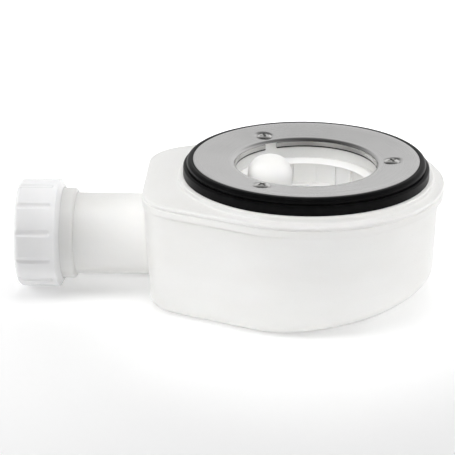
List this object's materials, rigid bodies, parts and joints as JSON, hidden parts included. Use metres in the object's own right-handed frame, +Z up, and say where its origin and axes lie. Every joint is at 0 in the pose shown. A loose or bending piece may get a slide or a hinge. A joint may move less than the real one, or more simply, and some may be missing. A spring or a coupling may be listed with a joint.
{
  "type": "shower trap",
  "caption": "Low white shower trap with a steel flange ring and black seals round its drain, a lift-out cup with a bell, and a side outlet with a compression nut.",
  "frame": {"origin": "on the drain axis, at the plane where the shower tray is clamped between the two rubber rings", "axes": "+Z up out of the drain, -X along the outlet, +Y completes a right-handed frame"},
  "size_m": [0.2176, 0.1404, 0.0708],
  "materials": {
    "white_moulding": "smooth white moulding",
    "white_insert": "smooth white moulding",
    "white_nut": "smooth white moulding",
    "slip_plastic": "plain",
    "black_rubber": "semi-gloss moulded rubber",
    "soft_seal": "matt rubber",
    "steel_ring": "satin",
    "steel_screw": "bright"
  },
  "bodies": {
    "trap": {"body": "white_moulding", "lid": "white_moulding", "tray_seal": "black_rubber", "flange_washer": "black_rubber", "flange_ring": "steel_ring", "flange_screws": "steel_screw", "trap_cup": "white_insert", "cup_seal": "soft_seal", "bell": "white_insert", "cone_seal": "soft_seal"},
    "slip_ring": {"slip_ring": "slip_plastic"},
    "nut": {"compression_nut": "white_nut"}
  },
  "joints": [
    {"name": "nut_travel", "type": "slide", "parent": "trap", "child": "slip_ring", "axis": [-1, 0, 0], "range_m": [0, 0.009]},
    {"name": "nut_turn", "type": "hinge", "parent": "slip_ring", "child": "nut", "pos_m": [-0.137, 0, -0.03945], "axis": [-1, 0, 0], "range_deg": [0, 1080]}
  ],
  "couplings": [
    {"joint": "nut_travel", "follows": "nut_turn", "m_per_rad": 0.00047746}
  ]
}
